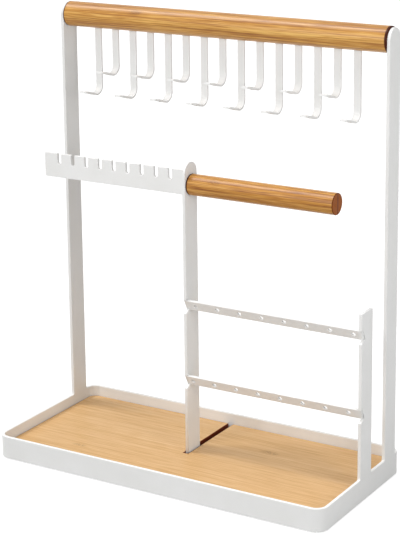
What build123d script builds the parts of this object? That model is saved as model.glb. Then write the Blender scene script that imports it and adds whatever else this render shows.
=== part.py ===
from build123d import *
import math
import os

# Jewellery stand: a white steel tray with a loose bamboo board, two tall uprights carrying a
# bamboo bar with a row of hooks, and a centre post with a necklace comb, a bamboo rod and two
# earring rails. Millimetres. X runs along the width, the front faces -Y, and Z is up from the
# surface that the stand's pads rest on. The origin is under the middle of the tray.

# ---- driving dimensions ----

# tray
tray_width = 290.0
tray_depth = 133.0
corner_radius = 10.0
rim_height = 18.0
steel_gauge = 2.5
base_gauge = 1.5
edge_radius = 0.4
pad_diameter = 12.0
pad_height = 1.0
pad_inset = 14.0

# loose board
board_thickness = 8.0
board_clearance = 0.6
board_edge = 0.5
slot_clearance = 0.9
slot_end_clearance = 1.5

# uprights and posts, cut from one width of strip
strip_width = 18.0
weld_seat = 0.5
upright_setback = 20.7
post_setback = 62.6
centre_post_offset = -5.7
centre_post_height = 242.8
short_post_height = 147.7

# top bar and its end pins
bar_diameter = 20.0
bar_axis_height = 341.6
wood_edge = 0.6
pin_diameter = 5.0
pin_length = 14.0
pin_clearance = 0.05

# hooks under the bar
long_hook_count = 8
hook_end_margin = 27.5
hook_width = 6.0
hook_gauge = 1.5
long_hook_drop = 53.2
short_hook_drop = 36.0
mortise_depth = 8.0
mortise_clearance = 0.05
hook_bend_radius = 7.0
hook_tongue_rise = 18.0
hook_tongue_length = 8.5
hook_flare_radius = 10.0
hook_tip_rise = 9.0
hook_tip_length = 6.0
hook_tip_corner = 1.5

# necklace comb
comb_length = 127.5
comb_height = 19.3
comb_base_height = 218.8
notch_count = 9
notch_width = 3.5
notch_depth = 8.5
comb_end_margin = 13.8
comb_root_margin = 10.7

# bamboo rod and its screw
rod_diameter = 16.5
rod_length = 124.5
rod_axis_height = 225.3
screw_diameter = 4.0
screw_depth = 22.0
screw_clearance = 0.05
screw_head_diameter = 8.5
screw_head_height = 2.6
screw_socket_width = 2.5
screw_socket_depth = 1.4

# earring rails
rail_width = 9.0
rail_gauge = 2.0
rail_lean = 28.0
rail_end_setback = 0.5
rail_hole_count = 8
rail_hole_diameter = 3.6
rail_names = ["upper_earring_rail", "lower_earring_rail"]
rail_top_heights = [134.8, 73.7]
rail_first_holes = [7.0, 4.0]
rail_last_holes = [5.4, 9.0]

# ---- places worked out from them ----

side_x = tray_width / 2
inner_x = side_x - steel_gauge
rear_y = tray_depth / 2
upright_y = rear_y - upright_setback
post_y = rear_y - post_setback
post_front_y = post_y - strip_width / 2
post_left_x = centre_post_offset - steel_gauge / 2
post_right_x = centre_post_offset + steel_gauge / 2
rim_top = pad_height + rim_height
base_top = pad_height + base_gauge
bar_bottom = bar_axis_height - bar_diameter / 2
hook_count = 2 * long_hook_count - 1
hook_pitch = (2 * inner_x - 2 * hook_end_margin) / (hook_count - 1)
inner_corner = max(corner_radius - steel_gauge, edge_radius)


def rounded_slab(width, depth, radius, bottom, height):
    outline = RectangleRounded(width, depth, radius)
    return Pos(0, 0, bottom) * extrude(outline, height)


def hole_along_x(start_x, length, y, z, diameter):
    cylinder = Cylinder(diameter / 2, length, rotation=(0, 90, 0))
    return Pos(start_x + length / 2, y, z) * cylinder


def block(low, high):
    size = [high[i] - low[i] for i in range(3)]
    middle = [(high[i] + low[i]) / 2 for i in range(3)]
    return Pos(*middle) * Box(*size)


def strip(left_x, middle_y, bottom, top, round_top):
    # flat strip standing on edge: thin in X, strip_width in Y, its long edges eased by the paint
    half = strip_width / 2
    shoulder = top - half if round_top else top
    body = block(
        (left_x, middle_y - half, bottom),
        (left_x + steel_gauge, middle_y + half, shoulder),
    )
    if round_top:
        body += hole_along_x(left_x, steel_gauge, middle_y, shoulder, strip_width)
    lower_ends = body.edges().filter_by_position(Axis.Z, bottom - 0.01, bottom + 0.01)
    crosswise = body.edges().filter_by(Axis.X)
    eased = [e for e in body.edges() if e not in lower_ends and e not in crosswise]
    return fillet(eased, edge_radius)


def post_notch(left_x, rail_top):
    # square-cut notch in a post's front edge that a leaning rail is laid into: it follows the
    # rail's top edge and back, and its lower side, square to them, runs out to the post's front
    across = (math.cos(math.radians(rail_lean)), math.sin(math.radians(rail_lean)))
    down = (across[1], -across[0])
    bottom = (post_front_y + rail_width * down[0], rail_top + rail_width * down[1])
    run_out = (bottom[0] - post_front_y) * across[1] / across[0]
    profile = make_face(
        Polyline(
            (post_front_y, rail_top),
            (post_front_y + rail_gauge * across[0], rail_top + rail_gauge * across[1]),
            (bottom[0] + rail_gauge * across[0], bottom[1] + rail_gauge * across[1]),
            (post_front_y, bottom[1] - run_out),
            close=True,
        )
    )
    return Pos(left_x, 0, 0) * extrude(Plane.YZ * profile, steel_gauge)


# ---- tray ----


def make_tray_rim():
    outer = rounded_slab(tray_width, tray_depth, corner_radius, pad_height, rim_height)
    inner = rounded_slab(
        tray_width - 2 * steel_gauge,
        tray_depth - 2 * steel_gauge,
        inner_corner,
        pad_height,
        rim_height,
    )
    ring = outer - inner
    ring = fillet(ring.edges().group_by(Axis.Z)[-1], edge_radius)
    # shallow seats that the uprights and the short post are welded into
    seats = [(-side_x, upright_y), (inner_x, upright_y), (inner_x, post_y)]
    for left_x, middle_y in seats:
        ring -= block(
            (left_x, middle_y - strip_width / 2, rim_top - weld_seat),
            (left_x + steel_gauge, middle_y + strip_width / 2, rim_top),
        )
    return ring


def make_base_plate():
    return rounded_slab(
        tray_width - 2 * steel_gauge,
        tray_depth - 2 * steel_gauge,
        inner_corner,
        pad_height,
        base_gauge,
    )


def make_foot_pad(side, end):
    x = side * (inner_x - pad_inset)
    y = end * (rear_y - steel_gauge - pad_inset)
    return Pos(x, y, pad_height / 2) * Cylinder(pad_diameter / 2, pad_height)


def make_board():
    board = rounded_slab(
        tray_width - 2 * steel_gauge - 2 * board_clearance,
        tray_depth - 2 * steel_gauge - 2 * board_clearance,
        max(inner_corner - board_clearance, board_edge),
        base_top,
        board_thickness,
    )
    board = chamfer(board.edges().group_by(Axis.Z)[-1], board_edge)
    # slot, open at the rear edge, that the board slides over the centre post by
    return board - block(
        (post_left_x - slot_clearance, post_front_y - slot_end_clearance, base_top),
        (post_right_x + slot_clearance, rear_y, base_top + board_thickness),
    )


# ---- uprights and posts ----


def make_upright(left_x):
    top = bar_axis_height + strip_width / 2
    return strip(left_x, upright_y, rim_top - weld_seat, top, round_top=True)


def make_centre_post():
    post = strip(post_left_x, post_y, base_top, centre_post_height, round_top=True)
    for rail_top in rail_top_heights:
        post -= post_notch(post_left_x, rail_top)
    # seat for the comb's end, and the hole for the rod's screw
    post -= block(
        (post_left_x, post_front_y, comb_base_height),
        (
            post_left_x + weld_seat,
            post_front_y + steel_gauge,
            comb_base_height + comb_height,
        ),
    )
    return post - hole_along_x(
        post_left_x,
        steel_gauge,
        post_y,
        rod_axis_height,
        screw_diameter + 2 * screw_clearance,
    )


def make_short_post():
    bottom = rim_top - weld_seat
    post = strip(inner_x, post_y, bottom, short_post_height, round_top=False)
    for rail_top in rail_top_heights:
        post -= post_notch(inner_x, rail_top)
    return post


# ---- top bar and hooks ----


def hook_x(index):
    return (index - (hook_count - 1) / 2) * hook_pitch


def make_top_bar():
    bar = hole_along_x(-inner_x, 2 * inner_x, upright_y, bar_axis_height, bar_diameter)
    bar = chamfer(bar.edges().filter_by(GeomType.CIRCLE), wood_edge)
    socket = pin_diameter + 2 * pin_clearance
    depth = pin_length + pin_clearance
    for start_x in (-inner_x, inner_x - depth):
        bar -= hole_along_x(start_x, depth, upright_y, bar_axis_height, socket)
    half_width = hook_width / 2 + mortise_clearance
    half_gauge = hook_gauge / 2 + mortise_clearance
    for index in range(hook_count):
        x = hook_x(index)
        bar -= block(
            (x - half_width, upright_y - half_gauge, bar_bottom),
            (x + half_width, upright_y + half_gauge, bar_bottom + mortise_depth),
        )
    return bar


def make_bar_pin(side):
    start_x = -inner_x if side < 0 else inner_x - pin_length
    return hole_along_x(start_x, pin_length, upright_y, bar_axis_height, pin_diameter)


def make_hook(index, drop):
    # one strip: straight shank, forward bend, rising tongue and a flatter flared tip
    bend_height = bar_bottom - drop + hook_gauge / 2 + hook_bend_radius
    with BuildLine(Plane.YZ) as path:
        shank = Line((0, bar_bottom + mortise_depth), (0, bend_height))
        bend = JernArc(
            shank @ 1, shank % 1, hook_bend_radius, -(90 + hook_tongue_rise)
        )
        tongue = Line(bend @ 1, bend @ 1 + (bend % 1) * hook_tongue_length)
        flare = JernArc(
            tongue @ 1,
            tongue % 1,
            hook_flare_radius,
            hook_tongue_rise - hook_tip_rise,
        )
        Line(flare @ 1, flare @ 1 + (flare % 1) * hook_tip_length)
    start = Plane(origin=path.line @ 0, x_dir=(1, 0, 0), z_dir=(0, 0, -1))
    hook = sweep(start * Rectangle(hook_width, hook_gauge), path.line)
    tip_face = hook.faces().sort_by(Axis.Y)[0]
    tip_corners = [
        e for e in tip_face.edges() if abs(e.length - hook_gauge) < 0.01
    ]
    hook = fillet(tip_corners, hook_tip_corner)
    return Pos(hook_x(index), upright_y, 0) * hook


# ---- comb, rod and rails ----


def make_comb_bar():
    end_x = post_left_x + weld_seat
    start_x = post_left_x - comb_length
    top = comb_base_height + comb_height
    comb = block(
        (start_x, post_front_y, comb_base_height),
        (end_x, post_front_y + steel_gauge, top),
    )
    root_edges = comb.edges().group_by(Axis.X)[-1]
    comb = fillet([e for e in comb.edges() if e not in root_edges], edge_radius)
    pitch = (comb_length - comb_end_margin - comb_root_margin) / (notch_count - 1)
    floor = top - notch_depth + notch_width / 2
    for index in range(notch_count):
        x = start_x + comb_end_margin + index * pitch
        comb -= block(
            (x - notch_width / 2, post_front_y, floor),
            (x + notch_width / 2, post_front_y + steel_gauge, top),
        )
        round_end = Cylinder(notch_width / 2, steel_gauge, rotation=(90, 0, 0))
        comb -= Pos(x, post_front_y + steel_gauge / 2, floor) * round_end
    return comb


def make_rod():
    rod = hole_along_x(post_right_x, rod_length, post_y, rod_axis_height, rod_diameter)
    rod = chamfer(rod.edges().filter_by(GeomType.CIRCLE), wood_edge)
    return rod - hole_along_x(
        post_right_x,
        screw_depth + screw_clearance,
        post_y,
        rod_axis_height,
        screw_diameter + 2 * screw_clearance,
    )


def make_rod_screw():
    head_x = post_left_x - screw_head_height
    head = hole_along_x(
        head_x, screw_head_height, post_y, rod_axis_height, screw_head_diameter
    )
    rim = head.edges().filter_by(GeomType.CIRCLE).sort_by(Axis.X)[0]
    head = fillet(rim, screw_head_height / 2)
    head -= Pos(head_x + screw_socket_depth / 2, post_y, rod_axis_height) * (
        Rot(0, 90, 0)
        * extrude(
            Pos(0, 0, -screw_socket_depth / 2)
            * RegularPolygon(screw_socket_width / 2, 6, major_radius=False),
            screw_socket_depth,
        )
    )
    shank = hole_along_x(
        post_left_x,
        steel_gauge + screw_depth,
        post_y,
        rod_axis_height,
        screw_diameter,
    )
    return head + shank


def make_rail(rail_top, first_hole, last_hole):
    # built flat and upright, drilled between the posts, then leaned forward about its top
    # front edge; its ends lie in both posts' notches, a little short of their outer sides
    start_x = post_left_x + rail_end_setback
    length = side_x - rail_end_setback - start_x
    span = inner_x - post_right_x
    rail = block((0, 0, -rail_width), (length, rail_gauge, 0))
    ends = [rail.edges().group_by(Axis.X)[0], rail.edges().group_by(Axis.X)[-1]]
    rail = fillet(
        [e for e in rail.edges() if e not in ends[0] and e not in ends[1]], edge_radius
    )
    pitch = (span - first_hole - last_hole) / (rail_hole_count - 1)
    for index in range(rail_hole_count):
        drill = Cylinder(rail_hole_diameter / 2, rail_gauge, rotation=(90, 0, 0))
        x = post_right_x - start_x + first_hole + index * pitch
        rail -= Pos(x, rail_gauge / 2, -rail_width / 2) * drill
    return Pos(start_x, post_front_y, rail_top) * Rot(rail_lean, 0, 0) * rail


def make_parts():
    parts = {
        "tray_rim": make_tray_rim(),
        "base_plate": make_base_plate(),
        "board": make_board(),
        "left_upright": make_upright(-side_x),
        "right_upright": make_upright(inner_x),
        "centre_post": make_centre_post(),
        "right_short_post": make_short_post(),
        "top_bar": make_top_bar(),
        "bar_pin_left": make_bar_pin(-1),
        "bar_pin_right": make_bar_pin(1),
        "comb_bar": make_comb_bar(),
        "rod": make_rod(),
        "rod_screw": make_rod_screw(),
    }
    for end, end_name in ((-1, "front"), (1, "rear")):
        for side, side_name in ((-1, "left"), (1, "right")):
            parts[f"foot_pad_{end_name}_{side_name}"] = make_foot_pad(side, end)
    for index in range(hook_count):
        place = index // 2 + 1
        if index % 2 == 0:
            parts[f"hook_long_{place}"] = make_hook(index, long_hook_drop)
        else:
            parts[f"hook_short_{place}"] = make_hook(index, short_hook_drop)
    for name, rail_top, first_hole, last_hole in zip(
        rail_names, rail_top_heights, rail_first_holes, rail_last_holes
    ):
        parts[name] = make_rail(rail_top, first_hole, last_hole)
    return parts


os.makedirs("parts", exist_ok=True)
for part_name, part_solid in make_parts().items():
    export_step(part_solid, f"parts/{part_name}.step")
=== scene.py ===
import math
import bmesh
import bpy
from mathutils import Matrix, Vector


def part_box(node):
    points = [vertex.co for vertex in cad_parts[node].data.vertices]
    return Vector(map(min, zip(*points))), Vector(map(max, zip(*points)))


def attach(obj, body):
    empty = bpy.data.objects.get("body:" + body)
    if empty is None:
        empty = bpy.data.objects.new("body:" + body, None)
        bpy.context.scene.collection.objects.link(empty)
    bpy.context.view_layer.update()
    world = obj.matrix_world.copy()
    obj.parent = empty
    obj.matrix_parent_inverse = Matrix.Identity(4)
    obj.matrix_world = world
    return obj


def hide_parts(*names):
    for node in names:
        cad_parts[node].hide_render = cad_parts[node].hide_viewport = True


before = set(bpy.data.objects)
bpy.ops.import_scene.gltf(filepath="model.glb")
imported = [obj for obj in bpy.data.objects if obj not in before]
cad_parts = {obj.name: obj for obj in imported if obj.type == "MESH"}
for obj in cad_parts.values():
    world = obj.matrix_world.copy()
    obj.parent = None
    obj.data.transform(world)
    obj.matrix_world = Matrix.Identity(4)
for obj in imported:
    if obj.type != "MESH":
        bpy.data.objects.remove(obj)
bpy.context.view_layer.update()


# ---- View ----
# The stand is seen from the front right and a little above, through a long lens whose axis meets
# the picture above its middle, as with a shift lens that keeps the uprights parallel.
mm = 0.001
view_azimuth = math.radians(31.22)
view_elevation = math.radians(12.94)
view_roll = math.radians(-0.65)
view_place = Vector((675.9, -1104.7, 550.8)) * mm
picture_rows = 534
focal_rows = 1761.85
axis_row = 150
sensor_height = 36.0

away = Vector(
    (
        math.sin(view_azimuth) * math.cos(view_elevation),
        -math.cos(view_azimuth) * math.cos(view_elevation),
        math.sin(view_elevation),
    )
)
level = Vector((math.cos(view_azimuth), math.sin(view_azimuth), 0))
rise = away.cross(level)
sideways = math.cos(view_roll) * level + math.sin(view_roll) * rise
upwards = math.cos(view_roll) * rise - math.sin(view_roll) * level

camera = bpy.data.objects.new("camera", bpy.data.cameras.new("camera"))
bpy.context.scene.collection.objects.link(camera)
camera.matrix_world = Matrix.Translation(view_place) @ Matrix(
    (sideways, upwards, away)
).transposed().to_4x4()
camera.data.sensor_fit = "VERTICAL"
camera.data.sensor_height = sensor_height
camera.data.lens = sensor_height * focal_rows / picture_rows
camera.data.shift_y = (axis_row - picture_rows / 2) / picture_rows
camera.data.clip_end = 20
bpy.context.scene.camera = camera
bpy.context.scene.view_settings.view_transform = "Standard"


# ---- Light and floor ----
# A pale room with a broad lamp above the stand, one high on its left that brightens the dowels'
# tops, a soft box before it and another on its right. The pale matte floor takes its shadow.
def add_node(tree, kind, inputs=None, **settings):
    made = tree.nodes.new(kind)
    for name, value in settings.items():
        setattr(made, name, value)
    for socket, value in (inputs or {}).items():
        if isinstance(value, bpy.types.NodeSocket):
            tree.links.new(value, made.inputs[socket])
        else:
            made.inputs[socket].default_value = value
    return made


def maths(tree, operation, *values):
    # one step of arithmetic on numbers, or on what other nodes give
    step = add_node(tree, "ShaderNodeMath", dict(enumerate(values)), operation=operation)
    return step.outputs[0]


def seen_or_mirrored(tree):
    # one for a ray from the camera, or one mirrored or let through, and nothing for the others
    rays = add_node(tree, "ShaderNodeLightPath").outputs
    either = maths(tree, "MAXIMUM", rays["Is Camera Ray"], rays["Is Glossy Ray"])
    return maths(tree, "MAXIMUM", either, rays["Is Transmission Ray"])


room_light = 0.28
seen_white = 1.0

room = bpy.data.worlds.new("room")
bpy.context.scene.world = room
room.use_nodes = True
room.node_tree.nodes.clear()
lit = add_node(room.node_tree, "ShaderNodeBackground", {"Strength": room_light})
seen = add_node(room.node_tree, "ShaderNodeBackground", {"Strength": seen_white})
lit.inputs["Color"].default_value = (1, 1, 1, 1)
seen.inputs["Color"].default_value = (1, 1, 1, 1)
both = add_node(
    room.node_tree,
    "ShaderNodeMixShader",
    {0: seen_or_mirrored(room.node_tree), 1: lit.outputs[0], 2: seen.outputs[0]},
)
add_node(room.node_tree, "ShaderNodeOutputWorld", {0: both.outputs[0]})


def aim(lamp, towards):
    lamp.rotation_euler = Vector(towards).to_track_quat("-Z", "Y").to_euler()
    bpy.context.scene.collection.objects.link(lamp)


def soft_box(name, power, size, place, target):
    lamp = bpy.data.objects.new(name, bpy.data.lights.new(name, "AREA"))
    lamp.data.shape = "DISK"
    lamp.data.energy = power
    lamp.data.size = size
    lamp.location = place
    aim(lamp, Vector(target) - Vector(place))


def far_lamp(name, power, spread, towards):
    lamp = bpy.data.objects.new(name, bpy.data.lights.new(name, "SUN"))
    lamp.data.energy = power
    lamp.data.angle = math.radians(spread)
    aim(lamp, towards)


far_lamp("lamp_above", 0.75, 40, (0.05, 0.1, -1.0))
far_lamp("lamp_left", 1.4, 18, (0.49, 0.13, -0.86))
soft_box("box_front", 3.6, 0.5, (-0.2, -0.85, 0.62), (-0.03, 0, 0.24))
soft_box("box_right", 1.9, 0.35, (0.75, -0.25, 0.35), (0, 0, 0.2))

floor_size = 12.0
floor_mesh = bmesh.new()
bmesh.ops.create_grid(floor_mesh, x_segments=1, y_segments=1, size=floor_size / 2)
floor_data = bpy.data.meshes.new("floor")
floor_mesh.to_mesh(floor_data)
floor_mesh.free()
floor = bpy.data.objects.new("floor", floor_data)
bpy.context.scene.collection.objects.link(floor)
floor_paint = bpy.data.materials.new("floor_white")
floor_paint.use_nodes = True
floor_paint.node_tree.nodes.clear()
floor_matte = add_node(floor_paint.node_tree, "ShaderNodeBsdfDiffuse")
floor_matte.inputs["Color"].default_value = (0.42, 0.42, 0.42, 1)
floor_glow = add_node(
    floor_paint.node_tree,
    "ShaderNodeEmission",
    {"Strength": seen_or_mirrored(floor_paint.node_tree)},
)
floor_glow.inputs["Color"].default_value = (0.8, 0.8, 0.8, 1)
floor_both = add_node(
    floor_paint.node_tree,
    "ShaderNodeAddShader",
    {0: floor_matte.outputs[0], 1: floor_glow.outputs[0]},
)
add_node(
    floor_paint.node_tree, "ShaderNodeOutputMaterial", {0: floor_both.outputs[0]}
)
floor.data.materials.append(floor_paint)


# ---- Tray rim ----
# One band of flat steel strip bent round four corners, its ends welded behind, ground flush and
# coated with matte white powder. The coat rounds every edge and has a faint orange peel.
def srgb(red, green, blue):
    channels = []
    for value in (red, green, blue):
        part = value / 255
        if part <= 0.04045:
            channels.append(part / 12.92)
        else:
            channels.append(((part + 0.055) / 1.055) ** 2.4)
    return (*channels, 1)


def new_material(name):
    material = bpy.data.materials.new(name)
    material.use_nodes = True
    tree = material.node_tree
    tree.nodes.clear()
    surface = add_node(tree, "ShaderNodeBsdfPrincipled")
    add_node(tree, "ShaderNodeOutputMaterial", {0: surface.outputs[0]})
    place = add_node(tree, "ShaderNodeTexCoord").outputs["Object"]
    return material, tree, surface, place


def powder_coat(name, light, dark, peel_depth):
    material, tree, surface, place = new_material(name)
    clouds = add_node(
        tree, "ShaderNodeTexNoise", {"Vector": place, "Scale": 38.0, "Detail": 3.0}
    )
    peel = add_node(
        tree, "ShaderNodeTexNoise", {"Vector": place, "Scale": 1100.0, "Detail": 2.0}
    )
    specks = add_node(
        tree, "ShaderNodeTexNoise", {"Vector": place, "Scale": 3600.0, "Detail": 1.0}
    )
    tone = add_node(tree, "ShaderNodeValToRGB", {0: clouds.outputs[0]})
    tone.color_ramp.elements[0].position = 0.3
    tone.color_ramp.elements[0].color = dark
    tone.color_ramp.elements[1].position = 0.7
    tone.color_ramp.elements[1].color = light
    gloss = add_node(
        tree,
        "ShaderNodeMapRange",
        {0: specks.outputs[0], 1: 0.3, 2: 0.7, 3: 0.44, 4: 0.58},
    )
    bumps = add_node(
        tree,
        "ShaderNodeBump",
        {"Height": peel.outputs[0], "Strength": 0.35, "Distance": peel_depth},
    )
    tree.links.new(tone.outputs[0], surface.inputs["Base Color"])
    tree.links.new(gloss.outputs[0], surface.inputs["Roughness"])
    tree.links.new(bumps.outputs[0], surface.inputs["Normal"])
    surface.inputs["Specular IOR Level"].default_value = 0.4
    return material


def skin(name, rings, closed):
    # joins rings of points, each with as many points as the last, into one closed surface
    mesh = bmesh.new()
    rows = [[mesh.verts.new(point) for point in ring] for ring in rings]
    count = len(rows[0])
    pairs = list(zip(rows, rows[1:] + rows[:1])) if closed else list(zip(rows, rows[1:]))
    for one, two in pairs:
        for index in range(count):
            after = (index + 1) % count
            mesh.faces.new((one[index], one[after], two[after], two[index]))
    if not closed:
        mesh.faces.new(rows[0])
        mesh.faces.new(rows[-1])
    bmesh.ops.recalc_face_normals(mesh, faces=mesh.faces)
    return made_object(name, mesh)


def made_object(name, mesh):
    for face in mesh.faces:
        face.smooth = True
    data = bpy.data.meshes.new(name)
    mesh.to_mesh(data)
    mesh.free()
    piece = bpy.data.objects.new(name, data)
    bpy.context.scene.collection.objects.link(piece)
    shading = piece.modifiers.new("flat_faces_stay_flat", "WEIGHTED_NORMAL")
    shading.weight = 100
    return piece


def arc(centre, radius, start, end, steps):
    # points on an arc, from one angle to another in degrees, both ends included
    points = []
    for index in range(steps + 1):
        angle = math.radians(start + (end - start) * index / steps)
        points.append(
            (
                centre[0] + radius * math.cos(angle),
                centre[1] + radius * math.sin(angle),
            )
        )
    return points


def rounded_section(low, high, radius, steps):
    # a rectangle between two corners, each of its own corners rounded
    (left, bottom), (right, top) = low, high
    section = arc((right - radius, top - radius), radius, 0, 90, steps)
    section += arc((left + radius, top - radius), radius, 90, 180, steps)
    section += arc((left + radius, bottom + radius), radius, 180, 270, steps)
    section += arc((right - radius, bottom + radius), radius, 270, 360, steps)
    return section


white_coat = powder_coat(
    "white_powder_coat", srgb(242, 242, 241), srgb(238, 238, 236), 0.03 * mm
)
rim_low, rim_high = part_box("tray_rim")
strip_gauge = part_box("right_upright")[1].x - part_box("right_upright")[0].x
rim_corner = 10.0 * mm
rim_edge = 0.45 * mm
corner_steps = 20
# where each corner's quarter turn starts in degrees, and the signs of its X and Y
quarter_turns = ((0, 1, 1), (90, -1, 1), (180, -1, -1), (270, 1, -1))

rim_section = rounded_section(
    (0, rim_low.z), (strip_gauge, rim_high.z), rim_edge, 4
)
rim_rings = []
for turn, side_x, side_y in quarter_turns:
    corner_x = side_x * (rim_high.x - rim_corner)
    corner_y = side_y * (rim_high.y - rim_corner)
    for step in range(corner_steps + 1):
        angle = math.radians(turn + 90 * step / corner_steps)
        outwards = Vector((math.cos(angle), math.sin(angle), 0))
        rim_rings.append(
            [
                Vector((corner_x, corner_y, height)) + outwards * (rim_corner - inset)
                for inset, height in rim_section
            ]
        )
rim = skin("steel_rim", rim_rings, closed=True)
rim.data.materials.append(white_coat)
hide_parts("tray_rim")
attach(rim, "stand")


# ---- Bottom plate and pads ----
# A sheet steel plate spot welded inside the rim, coated with it, and four clear silicone pads
# stuck under its corners. They hardly show, and keep the shapes that they have.
def mottled(name, grain, dark, light, roughness, metallic):
    # clouded between two close tones; grain is how fine the clouds are
    material, tree, surface, place = new_material(name)
    clouds = add_node(
        tree, "ShaderNodeTexNoise", {"Vector": place, "Scale": grain, "Detail": 2.0}
    )
    tone = add_node(tree, "ShaderNodeValToRGB", {0: clouds.outputs[0]})
    tone.color_ramp.elements[0].color = dark
    tone.color_ramp.elements[1].color = light
    tree.links.new(tone.outputs[0], surface.inputs["Base Color"])
    surface.inputs["Roughness"].default_value = roughness
    surface.inputs["Metallic"].default_value = metallic
    return material


def coat_as_is(node, material):
    # for a piece that keeps the shape it has
    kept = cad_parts[node]
    kept.data.materials.clear()
    kept.data.materials.append(material)


coat_as_is("base_plate", white_coat)
silicone = mottled(
    "clear_silicone", 900.0, srgb(205, 206, 204), srgb(226, 227, 226), 0.35, 0.0
)
for end in ("front", "rear"):
    for side in ("left", "right"):
        coat_as_is(f"foot_pad_{end}_{side}", silicone)


# ---- Board ----
# A loose board of pressed bamboo laid in the tray. Its fibres run along the tray, it is cut to
# shape by a hot beam that browns the slot's walls, and it is finished with a satin lacquer. The
# brown runs a little onto the top round the slot, most at its front end, as painted shade of the
# gap before the post, and one patch of dark flecks is the rod's shadow painted on.
def stretched_noise(tree, place, changes, detail, roughness=0.5):
    # cloudy noise drawn out along X; changes is how often it varies in a metre of each axis
    drawn = add_node(
        tree, "ShaderNodeVectorMath", {0: place, 1: changes}, operation="MULTIPLY"
    )
    noise = add_node(
        tree,
        "ShaderNodeTexNoise",
        {"Vector": drawn.outputs[0], "Scale": 1.0, "Detail": detail, "Roughness": roughness},
    )
    return noise.outputs[0]


def bamboo(name, colours, spread, strip_width, marks, burns_and_shade, lacquer):
    # strips side by side across Y, each of its own tone, with long fibres along X; a small
    # spread brings the dark and light fibres out, a large one leaves them soft
    material, tree, surface, place = new_material(name)
    axes = add_node(tree, "ShaderNodeSeparateXYZ", {0: place})
    wander = add_node(
        tree, "ShaderNodeTexNoise", {"Vector": place, "Scale": 14.0, "Detail": 2.0}
    )
    shifted = add_node(
        tree,
        "ShaderNodeVectorMath",
        {0: wander.outputs["Color"], 1: (0.0, 0.0014, 0.0014)},
        operation="MULTIPLY",
    )
    bent = add_node(
        tree, "ShaderNodeVectorMath", {0: place, 1: shifted.outputs[0]}, operation="ADD"
    )
    # broad bands of lighter and darker wood, then fibres, then fine dark vessels
    bands = stretched_noise(tree, bent.outputs[0], (6.0, 330.0, 330.0), 3.0, 0.55)
    fibres = stretched_noise(tree, bent.outputs[0], (13.0, 1100.0, 1100.0), 2.0)
    vessels = stretched_noise(tree, bent.outputs[0], (60.0, 2200.0, 2200.0), 1.0)
    strip_index = maths(tree, "FLOOR", maths(tree, "DIVIDE", axes.outputs[1], strip_width))
    strips = add_node(
        tree, "ShaderNodeTexWhiteNoise", {"W": strip_index}, noise_dimensions="1D"
    ).outputs[0]
    # the four weights add up to one
    blend = 0.0
    for weight, part in ((0.12, bands), (0.46, fibres), (0.08, strips), (0.34, vessels)):
        blend = maths(tree, "MULTIPLY_ADD", part, weight, blend)
    tone = add_node(tree, "ShaderNodeValToRGB", {0: blend})
    dark, middle, light = colours
    usual_blend = 0.49
    tone.color_ramp.elements[0].position = usual_blend - spread
    tone.color_ramp.elements[0].color = dark
    tone.color_ramp.elements[1].position = usual_blend + spread
    tone.color_ramp.elements[1].color = light
    tone.color_ramp.elements.new(usual_blend).color = middle
    colour = tone.outputs[0]
    for centre, half_size in marks:
        colour = knot_and_shadow_mark(tree, place, colour, centre, half_size, dark)
    coat = lacquer
    # dark bands, partly burn and partly painted shade at joints, round the slot and at the rod's
    # free rim
    for char_and_shade, cuts in burns_and_shade:
        colour, coat = charred_and_shaded(tree, axes, colour, coat, char_and_shade, cuts)
    bumps = add_node(
        tree,
        "ShaderNodeBump",
        {"Height": fibres, "Strength": 0.25, "Distance": 0.05 * mm},
    )
    gloss = add_node(
        tree, "ShaderNodeMapRange", {0: blend, 1: 0.35, 2: 0.65, 3: 0.5, 4: 0.38}
    )
    tree.links.new(colour, surface.inputs["Base Color"])
    tree.links.new(gloss.outputs[0], surface.inputs["Roughness"])
    tree.links.new(bumps.outputs[0], surface.inputs["Normal"])
    tree.links.new(coat, surface.inputs["Coat Weight"])
    surface.inputs["Coat Roughness"].default_value = 0.36
    surface.inputs["Specular IOR Level"].default_value = 0.12
    return material


def knot_and_shadow_mark(tree, place, colour, centre, half_size, dark):
    # where a node of the cane was: a patch of short dark flecks that fades out at its border; on
    # the board one such patch is painted shadow, where the rod's shadow falls
    from_centre = add_node(
        tree,
        "ShaderNodeVectorMath",
        {0: place, 1: tuple(-value for value in centre)},
        operation="ADD",
    )
    scaled = add_node(
        tree,
        "ShaderNodeVectorMath",
        {0: from_centre.outputs[0], 1: tuple(1 / value for value in half_size)},
        operation="MULTIPLY",
    )
    distance = add_node(
        tree, "ShaderNodeVectorMath", {0: scaled.outputs[0]}, operation="LENGTH"
    )
    near = add_node(
        tree,
        "ShaderNodeMapRange",
        {0: distance.outputs["Value"], 1: 1.0, 2: 0.1, 3: 0.0, 4: 1.0},
        interpolation_type="SMOOTHSTEP",
    )
    flecks = add_node(
        tree,
        "ShaderNodeTexNoise",
        {"Vector": scaled.outputs[0], "Scale": 5.0, "Detail": 3.0, "Distortion": 1.2},
    )
    fleck_edge = add_node(
        tree,
        "ShaderNodeMapRange",
        {0: flecks.outputs[0], 1: 0.42, 2: 0.6, 3: 0.0, 4: 0.85},
    )
    amount = maths(tree, "MULTIPLY", near.outputs[0], fleck_edge.outputs[0])
    fleck_colour = (*(0.55 * part for part in dark[:3]), 1)
    mixed = add_node(tree, "ShaderNodeMixRGB", {0: amount, 1: colour, 2: fleck_colour})
    return mixed.outputs[0]


def near_cut(tree, axes, cuts):
    # one at a cut and nothing past a short fade; a cut is (axis, middle, half width, fade), and
    # several at once give the place where they cross
    amount = None
    for axis, middle, half, fade in cuts:
        offset = maths(tree, "SUBTRACT", axes.outputs[axis], middle)
        here = add_node(
            tree,
            "ShaderNodeMapRange",
            {0: maths(tree, "ABSOLUTE", offset), 1: half, 2: half + fade, 3: 1.0, 4: 0.0},
            interpolation_type="SMOOTHSTEP",
        ).outputs[0]
        amount = here if amount is None else maths(tree, "MULTIPLY", amount, here)
    return amount


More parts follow.
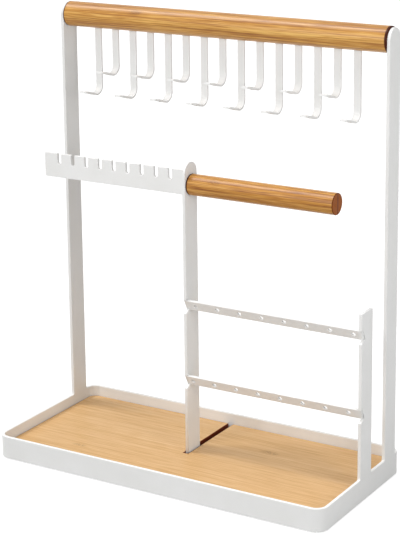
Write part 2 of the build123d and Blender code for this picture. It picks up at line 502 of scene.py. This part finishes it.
def charred_and_shaded(tree, axes, colour, coat, char_and_shade, cuts):
    # browned by the heat of the cut, and left bare of lacquer there; where a dowel meets a strip,
    # round the board's slot and at the rod's free rim the brown is also painted shade
    amount = near_cut(tree, axes, cuts)
    mixed = add_node(tree, "ShaderNodeMixRGB", {0: amount, 1: colour, 2: char_and_shade})
    sound = maths(tree, "SUBTRACT", 1.0, amount)
    return mixed.outputs[0], maths(tree, "MULTIPLY", coat, sound)


def grown_plate(name, outline, place, thickness, edge, steps=3, keep_square=None):
    # an outline given a thickness, its sharp edges rounded; place turns (a, b, depth) into a
    # point, and keep_square says which edges stay sharp, from their two ends
    mesh = bmesh.new()
    near = [mesh.verts.new(place(a, b, 0)) for a, b in outline]
    far = [mesh.verts.new(place(a, b, thickness)) for a, b in outline]
    mesh.faces.new(near)
    mesh.faces.new(far)
    count = len(outline)
    for index in range(count):
        after = (index + 1) % count
        mesh.faces.new((near[index], near[after], far[after], far[index]))
    bmesh.ops.recalc_face_normals(mesh, faces=mesh.faces)
    round_edges(mesh, edge, steps, keep_square)
    return made_object(name, mesh)


def round_edges(mesh, edge, steps, keep_square=None):
    sharp = [
        line
        for line in mesh.edges
        if line.calc_face_angle(0) > math.radians(30)
        and not (keep_square and keep_square(line.verts[0].co, line.verts[1].co))
    ]
    bmesh.ops.bevel(
        mesh,
        geom=sharp,
        offset=edge,
        offset_type="OFFSET",
        segments=steps,
        profile=0.5,
        affect="EDGES",
        clamp_overlap=True,
    )


board_low, board_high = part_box("board")
post_low, post_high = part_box("centre_post")
board_corner = 6.9 * mm
board_edge = 0.5 * mm
slot_gap = 0.9 * mm
slot_end_gap = 1.5 * mm
slot_left = post_low.x - slot_gap
slot_right = post_high.x + slot_gap
slot_end = post_low.y - slot_end_gap

board_outline = []
for turn, side_x, side_y in quarter_turns:
    centre = (
        side_x * (board_high.x - board_corner),
        side_y * (board_high.y - board_corner),
    )
    board_outline += arc(centre, board_corner, turn, turn + 90, 12)
    if turn == 0:
        board_outline += [
            (slot_right, board_high.y),
            (slot_right, slot_end),
            (slot_left, slot_end),
            (slot_left, board_high.y),
        ]
board = grown_plate(
    "bamboo_board",
    board_outline,
    lambda a, b, depth: (a, b, board_low.z + depth),
    board_high.z - board_low.z,
    board_edge,
)
# the slot's walls are browned by the cut; the brown that reaches onto the top round the slot,
# furthest at its front end, is painted shade of the gap before the post
slot_burn_and_gap_shade = [
    (0, (slot_left + slot_right) / 2, (slot_right - slot_left) / 2 + 0.1 * mm, 0.5 * mm),
    (1, (slot_end + board_high.y) / 2, (board_high.y - slot_end) / 2 + 0.3 * mm, 0.9 * mm),
]
board_wood = bamboo(
    "pressed_bamboo",
    colours=(srgb(190, 147, 92), srgb(212, 171, 120), srgb(223, 186, 139)),
    spread=0.16,
    strip_width=24 * mm,
    marks=[
        # painted shadow: this patch of flecks lies where the rod's shadow falls on the board
        ((51.6 * mm, 26 * mm, board_high.z), (11 * mm, 4.5 * mm, 6 * mm)),
        ((-88 * mm, -34 * mm, board_high.z), (9 * mm, 3 * mm, 6 * mm)),
    ],
    burns_and_shade=[(srgb(112, 42, 12), slot_burn_and_gap_shade)],
    lacquer=0.12,
)
board.data.materials.append(board_wood)
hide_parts("board")
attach(board, "board")


# ---- Uprights and short post ----
# Flat steel strips welded to the top of the rim, flush with its sides. The uprights end in a half
# round that follows the bar, and the short post is cut square and notched for the rails.
def half_round_top(front, rear, top, steps):
    radius = (rear - front) / 2
    return arc((front + radius, top - radius), radius, 0, 180, steps)


def weld_foot(front, rear, seat, foot):
    # the foot of a strip, from its front edge round to its rear edge, with a small weld on both
    # sides where it meets the rim
    weld = 0.8 * mm
    outline = arc((front - weld, seat + weld), weld, 0, -90, 5)
    outline += [(front - weld, foot), (rear + weld, foot)]
    outline += arc((rear + weld, seat + weld), weld, -90, -180, 5)
    return outline


coat_edge = 0.4 * mm


def stand_on_edge(left_x):
    return lambda y, z, depth: (left_x + depth, y, z)


def at_foot(height):
    return lambda one, two: one.z < height and two.z < height


for name in ("left_upright", "right_upright"):
    low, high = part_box(name)
    outline = half_round_top(low.y, high.y, high.z, 32)
    outline += weld_foot(low.y, high.y, rim_high.z, low.z)
    upright = grown_plate(
        f"{name}_strip",
        outline,
        stand_on_edge(low.x),
        high.x - low.x,
        coat_edge,
        keep_square=at_foot(rim_high.z + 0.1 * mm),
    )
    upright.data.materials.append(white_coat)
    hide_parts(name)
    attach(upright, "stand")


rail_lean = math.radians(28)
rail_width = 9.0 * mm
rail_gauge = 2.0 * mm
rail_tops = (134.8 * mm, 73.7 * mm)


def notched_front(front):
    # a strip's front edge from the top down, with a square-cut notch that each leaning rail is
    # laid into: along the rail's top edge, down its back, and out below it
    across = (math.cos(rail_lean), math.sin(rail_lean))
    down = (across[1], -across[0])
    points = []
    for top in rail_tops:
        bottom = (front + rail_width * down[0], top + rail_width * down[1])
        run_out = (bottom[0] - front) * across[1] / across[0]
        points += [
            (front, top),
            (front + rail_gauge * across[0], top + rail_gauge * across[1]),
            (bottom[0] + rail_gauge * across[0], bottom[1] + rail_gauge * across[1]),
            (front, bottom[1] - run_out),
        ]
    return points


low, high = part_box("right_short_post")
short_outline = [(high.y, high.z), (low.y, high.z)]
short_outline += notched_front(low.y)
short_outline += weld_foot(low.y, high.y, rim_high.z, low.z)
short_post = grown_plate(
    "short_post_strip",
    short_outline,
    stand_on_edge(low.x),
    high.x - low.x,
    coat_edge,
    keep_square=at_foot(rim_high.z + 0.1 * mm),
)
short_post.data.materials.append(white_coat)
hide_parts("right_short_post")
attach(short_post, "stand")


# ---- Centre post ----
# The same strip with a half round top, welded to the bottom plate and standing in the board's
# slot. Its front edge has the same notches as the short post.
low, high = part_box("centre_post")
centre_outline = half_round_top(low.y, high.y, high.z, 32)
centre_outline += notched_front(low.y)
centre_outline += [(low.y, low.z), (high.y, low.z)]
centre_post = grown_plate(
    "centre_post_strip",
    centre_outline,
    stand_on_edge(low.x),
    high.x - low.x,
    coat_edge,
    keep_square=at_foot(low.z + 0.1 * mm),
)
centre_post.data.materials.append(white_coat)
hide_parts("centre_post")
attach(centre_post, "stand")


# ---- Necklace comb ----
# A steel strip welded by its end to the centre post's left side. U-shaped notches cut in its top
# edge keep the chains apart.
comb_low, comb_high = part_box("comb_bar")
notch_count = 9
notch_width = 3.5 * mm
notch_depth = 8.5 * mm
comb_end_margin = 13.8 * mm
comb_root_margin = 10.7 * mm
comb_edge = 0.3 * mm
comb_free_length = post_low.x - comb_low.x
notch_pitch = (comb_free_length - comb_end_margin - comb_root_margin) / (notch_count - 1)

comb_outline = [
    (comb_high.x, comb_high.z),
    (comb_high.x, comb_low.z),
    (comb_low.x, comb_low.z),
    (comb_low.x, comb_high.z),
]
for index in range(notch_count):
    middle = comb_low.x + comb_end_margin + index * notch_pitch
    half = notch_width / 2
    comb_outline.append((middle - half, comb_high.z))
    comb_outline += arc(
        (middle, comb_high.z - notch_depth + half), half, 180, 360, 12
    )
    comb_outline.append((middle + half, comb_high.z))
comb = grown_plate(
    "comb_strip",
    comb_outline,
    lambda a, b, depth: (a, comb_low.y + depth, b),
    comb_high.y - comb_low.y,
    comb_edge,
)
comb.data.materials.append(white_coat)
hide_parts("comb_bar")
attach(comb, "stand")


# ---- Top bar ----
# A dowel turned from laminated bamboo, held between the uprights by a hidden pin at each end. Its
# ends are dark brown, partly saw burn and partly painted shade where they meet the uprights, and
# its edge is broken there.
def turned_dowel(name, left, right, middle_y, middle_z, radius, edge):
    # rings along X, the two ends rounded off
    profile = arc((left + edge, radius - edge), edge, 180, 90, 5)
    length_steps = 24
    for index in range(1, length_steps):
        share = index / length_steps
        profile.append((left + edge + (right - left - 2 * edge) * share, radius))
    profile += arc((right - edge, radius - edge), edge, 90, 0, 5)
    sides = 72
    rings = []
    for x, ring_radius in profile:
        ring = []
        for side in range(sides):
            angle = 2 * math.pi * side / sides
            ring.append(
                Vector(
                    (
                        x,
                        middle_y + ring_radius * math.cos(angle),
                        middle_z + ring_radius * math.sin(angle),
                    )
                )
            )
        rings.append(ring)
    return skin(name, rings, closed=False)


bar_low, bar_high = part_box("top_bar")
bar_radius = (bar_high.z - bar_low.z) / 2
bar_y = (bar_low.y + bar_high.y) / 2
bar_z = (bar_low.z + bar_high.z) / 2
bar_edge = 0.8 * mm
top_bar = turned_dowel(
    "top_bar_dowel", bar_low.x, bar_high.x, bar_y, bar_z, bar_radius, bar_edge
)
# dark brown of a dowel's end where it meets a strip: partly saw burn, partly painted shade of the
# joint
burn_and_joint_shade = srgb(66, 24, 6)
bar_wood = bamboo(
    "bar_bamboo",
    colours=(srgb(146, 88, 22), srgb(196, 138, 56), srgb(236, 188, 104)),
    spread=0.14,
    strip_width=9 * mm,
    marks=[
        ((-74.5 * mm, bar_low.y + 3 * mm, bar_high.z - 4 * mm), (9 * mm, 4 * mm, 3 * mm)),
        ((60 * mm, bar_high.y - 2 * mm, bar_z), (8 * mm, 4 * mm, 4 * mm)),
    ],
    burns_and_shade=[
        # both ends: painted shade where the bar meets each upright, together with the burn
        (burn_and_joint_shade, [(0, bar_low.x, 1.0 * mm, 0.5 * mm)]),
        (burn_and_joint_shade, [(0, bar_high.x, 1.7 * mm, 0.7 * mm)]),
    ],
    lacquer=0.7,
)
top_bar.data.materials.append(bar_wood)
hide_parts("top_bar")
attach(top_bar, "stand")

pin_steel = mottled(
    "turned_pin_steel", 2500.0, srgb(150, 150, 152), srgb(190, 190, 192), 0.4, 1.0
)
for side in ("left", "right"):
    coat_as_is(f"bar_pin_{side}", pin_steel)


# ---- Hooks ----
# Fifteen strips of coated steel, long and short by turns. Each is bent forward into a rising
# tongue with a flatter tip, and its shank is glued into a mortise in the bar's underside.
hook_gauge = 1.5 * mm
hook_bend = 7.0 * mm
hook_rise = math.radians(18)
hook_tongue = 8.5 * mm
hook_flare = 10.0 * mm
hook_tip_rise = math.radians(9)
hook_tip = 6.0 * mm
hook_tip_corner = 1.5 * mm
hook_edge = 0.25 * mm


def hook_line(shank_y, top, bottom, half_gauge):
    # the middle line of the strip as (y, z, heading) stations; the heading is the angle of travel,
    # -90 degrees straight down and 180 degrees straight forward
    stations = [(shank_y, top, -90.0)]
    bend_y = shank_y - hook_bend
    bend_z = bottom + half_gauge + hook_bend
    bend_turn = 90 + math.degrees(hook_rise)
    bend_steps = 22
    for index in range(bend_steps + 1):
        turn = bend_turn * index / bend_steps
        angle = math.radians(-turn)
        stations.append(
            (
                bend_y + hook_bend * math.cos(angle),
                bend_z + hook_bend * math.sin(angle),
                -90.0 - turn,
            )
        )
    y, z, heading = stations[-1]
    y += hook_tongue * math.cos(math.radians(heading))
    z += hook_tongue * math.sin(math.radians(heading))
    stations.append((y, z, heading))
    flare_turn = math.degrees(hook_rise - hook_tip_rise)
    flare_steps = 8
    centre_y = y - hook_flare * math.sin(math.radians(heading))
    centre_z = z + hook_flare * math.cos(math.radians(heading))
    for index in range(1, flare_steps + 1):
        now = heading + flare_turn * index / flare_steps
        stations.append(
            (
                centre_y + hook_flare * math.sin(math.radians(now)),
                centre_z - hook_flare * math.cos(math.radians(now)),
                now,
            )
        )
    y, z, heading = stations[-1]
    corner_steps = 6
    for index in range(corner_steps + 1):
        share = math.sin(math.pi / 2 * index / corner_steps)
        reach = hook_tip - hook_tip_corner * (1 - share)
        stations.append(
            (
                y + reach * math.cos(math.radians(heading)),
                z + reach * math.sin(math.radians(heading)),
                heading,
            )
        )
    return stations, corner_steps


def make_hook(name):
    low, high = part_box(name)
    middle_x = (low.x + high.x) / 2
    half_width = (high.x - low.x) / 2
    half_gauge = hook_gauge / 2
    stations, corner_steps = hook_line(high.y - half_gauge, high.z, low.z, half_gauge)
    rings = []
    for index, (y, z, heading) in enumerate(stations):
        from_tip = index - (len(stations) - 1 - corner_steps)
        narrowing = 0.0
        if from_tip > 0:
            share = math.sin(math.pi / 2 * from_tip / corner_steps)
            narrowing = hook_tip_corner * (1 - math.sqrt(max(0.0, 1 - share * share)))
        normal = Vector(
            (0, -math.sin(math.radians(heading)), math.cos(math.radians(heading)))
        )
        half = half_width - narrowing
        section = rounded_section((-half, -half_gauge), (half, half_gauge), hook_edge, 3)
        rings.append(
            [Vector((middle_x + a, y, z)) + normal * b for a, b in section]
        )
    return skin(f"{name}_strip", rings, closed=False)


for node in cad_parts:
    if node.startswith("hook_"):
        hook = make_hook(node)
        hook.data.materials.append(white_coat)
        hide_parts(node)
        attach(hook, "stand")


# ---- Rod and its screw ----
# A thinner bamboo dowel that stands out to the right of the centre post, held by one screw
# through the post. Its cut ends are browned, partly by the cut and partly as painted shade where
# it meets the post and round the free end's rim, and the free one shows the end grain.
rod_low, rod_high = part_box("rod")
rod_y = (rod_low.y + rod_high.y) / 2
rod_z = (rod_low.z + rod_high.z) / 2
rod_radius = (rod_high.z - rod_low.z) / 2
rod_edge = 0.6 * mm
rod = turned_dowel(
    "rod_dowel", rod_low.x, rod_high.x, rod_y, rod_z, rod_radius, rod_edge
)
# the free end has a brown rim, partly painted shade, a paler face and one dark ray across it
end_ray = [
    (0, rod_high.x, 0.3 * mm, 0.1 * mm),
    (1, rod_y + 0.6 * mm, 0.2 * mm, 0.9 * mm),
]
rod_wood = bamboo(
    "rod_bamboo",
    colours=(srgb(136, 78, 16), srgb(186, 126, 44), srgb(226, 174, 90)),
    spread=0.14,
    strip_width=8 * mm,
    marks=[
        ((20 * mm, rod_low.y + 3 * mm, rod_high.z - 3 * mm), (10 * mm, 4 * mm, 2.5 * mm)),
    ],
    burns_and_shade=[
        # painted shade where the rod meets the post, together with the burn
        (burn_and_joint_shade, [(0, rod_low.x, 1.1 * mm, 0.4 * mm)]),
        # the free end's brown rim: burn and painted shade of its edge
        (srgb(84, 38, 10), [(0, rod_high.x, 0.5 * mm, 0.3 * mm)]),
        (srgb(148, 78, 12), [(0, rod_high.x, 0.1 * mm, 0.1 * mm)]),
        (srgb(92, 38, 6), end_ray),
    ],
    lacquer=0.6,
)
rod.data.materials.append(rod_wood)
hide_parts("rod")
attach(rod, "stand")

screw_paint = powder_coat(
    "screw_paint", srgb(240, 240, 238), srgb(230, 230, 228), 0.015 * mm
)
coat_as_is("rod_screw", screw_paint)


# ---- Earring rails ----
# Two narrow steel strips from post to post, leaning forward at the top, their ends laid into the
# posts' notches and welded there. The holes drilled between the posts take earring posts.
rail_hole_count = 8
rail_hole_radius = 1.8 * mm
rail_edge = 0.25 * mm
# from each post to the nearest hole
rail_holes = {
    "upper_earring_rail": (7.0 * mm, 5.4 * mm),
    "lower_earring_rail": (4.0 * mm, 9.0 * mm),
}


def drilled_strip(length, width, thickness, centres, radius):
    # flat, its front in the XZ plane and its top edge at Z = 0, with a ring of faces round
    # every hole and a plain face between two rings
    mesh = bmesh.new()
    sides = 32
    half = width / 2
    reach = 2 * radius
    # corners that agree to a tenth of a micrometre are one corner
    steps_per_metre = 1e7
    faces = []
    left_side = [(0.0, -half), (0.0, half)]
    for centre in centres:
        ring_out, ring_in = [], []
        for side in range(sides):
            angle = 2 * math.pi * side / sides
            grow = 1 / max(abs(math.cos(angle)), abs(math.sin(angle)))
            ring_out.append(
                (
                    centre + reach * grow * math.cos(angle),
                    half * grow * math.sin(angle),
                )
            )
            ring_in.append(
                (centre + radius * math.cos(angle), radius * math.sin(angle))
            )
        for side in range(sides):
            after = (side + 1) % sides
            faces.append(
                [ring_out[side], ring_out[after], ring_in[after], ring_in[side]]
            )
        eighth = sides // 8
        left_column = ring_out[3 * eighth : 5 * eighth + 1]
        faces.append(left_side + left_column)
        left_side = ring_out[-eighth:] + ring_out[: eighth + 1]
    faces.append(left_side + [(length, half), (length, -half)])
    corners = {}
    for outline in faces:
        loop = []
        for a, b in outline:
            key = (round(a * steps_per_metre), round(b * steps_per_metre))
            if key not in corners:
                corners[key] = mesh.verts.new((a, 0, b - half))
            loop.append(corners[key])
        mesh.faces.new(loop)
    front = list(mesh.faces)
    grown = bmesh.ops.extrude_face_region(mesh, geom=front)
    back = [part for part in grown["geom"] if isinstance(part, bmesh.types.BMVert)]
    bmesh.ops.translate(mesh, verts=back, vec=(0, thickness, 0))
    bmesh.ops.recalc_face_normals(mesh, faces=mesh.faces)
    # the square ends, which lie in the notches, stay sharp
    hair = 0.001 * mm
    round_edges(
        mesh,
        rail_edge,
        3,
        lambda one, two: max(one.x, two.x) < hair or min(one.x, two.x) > length - hair,
    )
    return mesh


for top, name in zip(rail_tops, ("upper_earring_rail", "lower_earring_rail")):
    low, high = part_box(name)
    length = high.x - low.x
    first, last = rail_holes[name]
    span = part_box("right_short_post")[0].x - post_high.x
    pitch = (span - first - last) / (rail_hole_count - 1)
    centres = [
        post_high.x - low.x + first + index * pitch for index in range(rail_hole_count)
    ]
    rail_mesh = drilled_strip(length, rail_width, rail_gauge, centres, rail_hole_radius)
    rail_mesh.transform(
        Matrix.Translation((low.x, post_low.y, top)) @ Matrix.Rotation(rail_lean, 4, "X")
    )
    rail = made_object(f"{name}_strip", rail_mesh)
    rail.data.materials.append(white_coat)
    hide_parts(name)
    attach(rail, "stand")
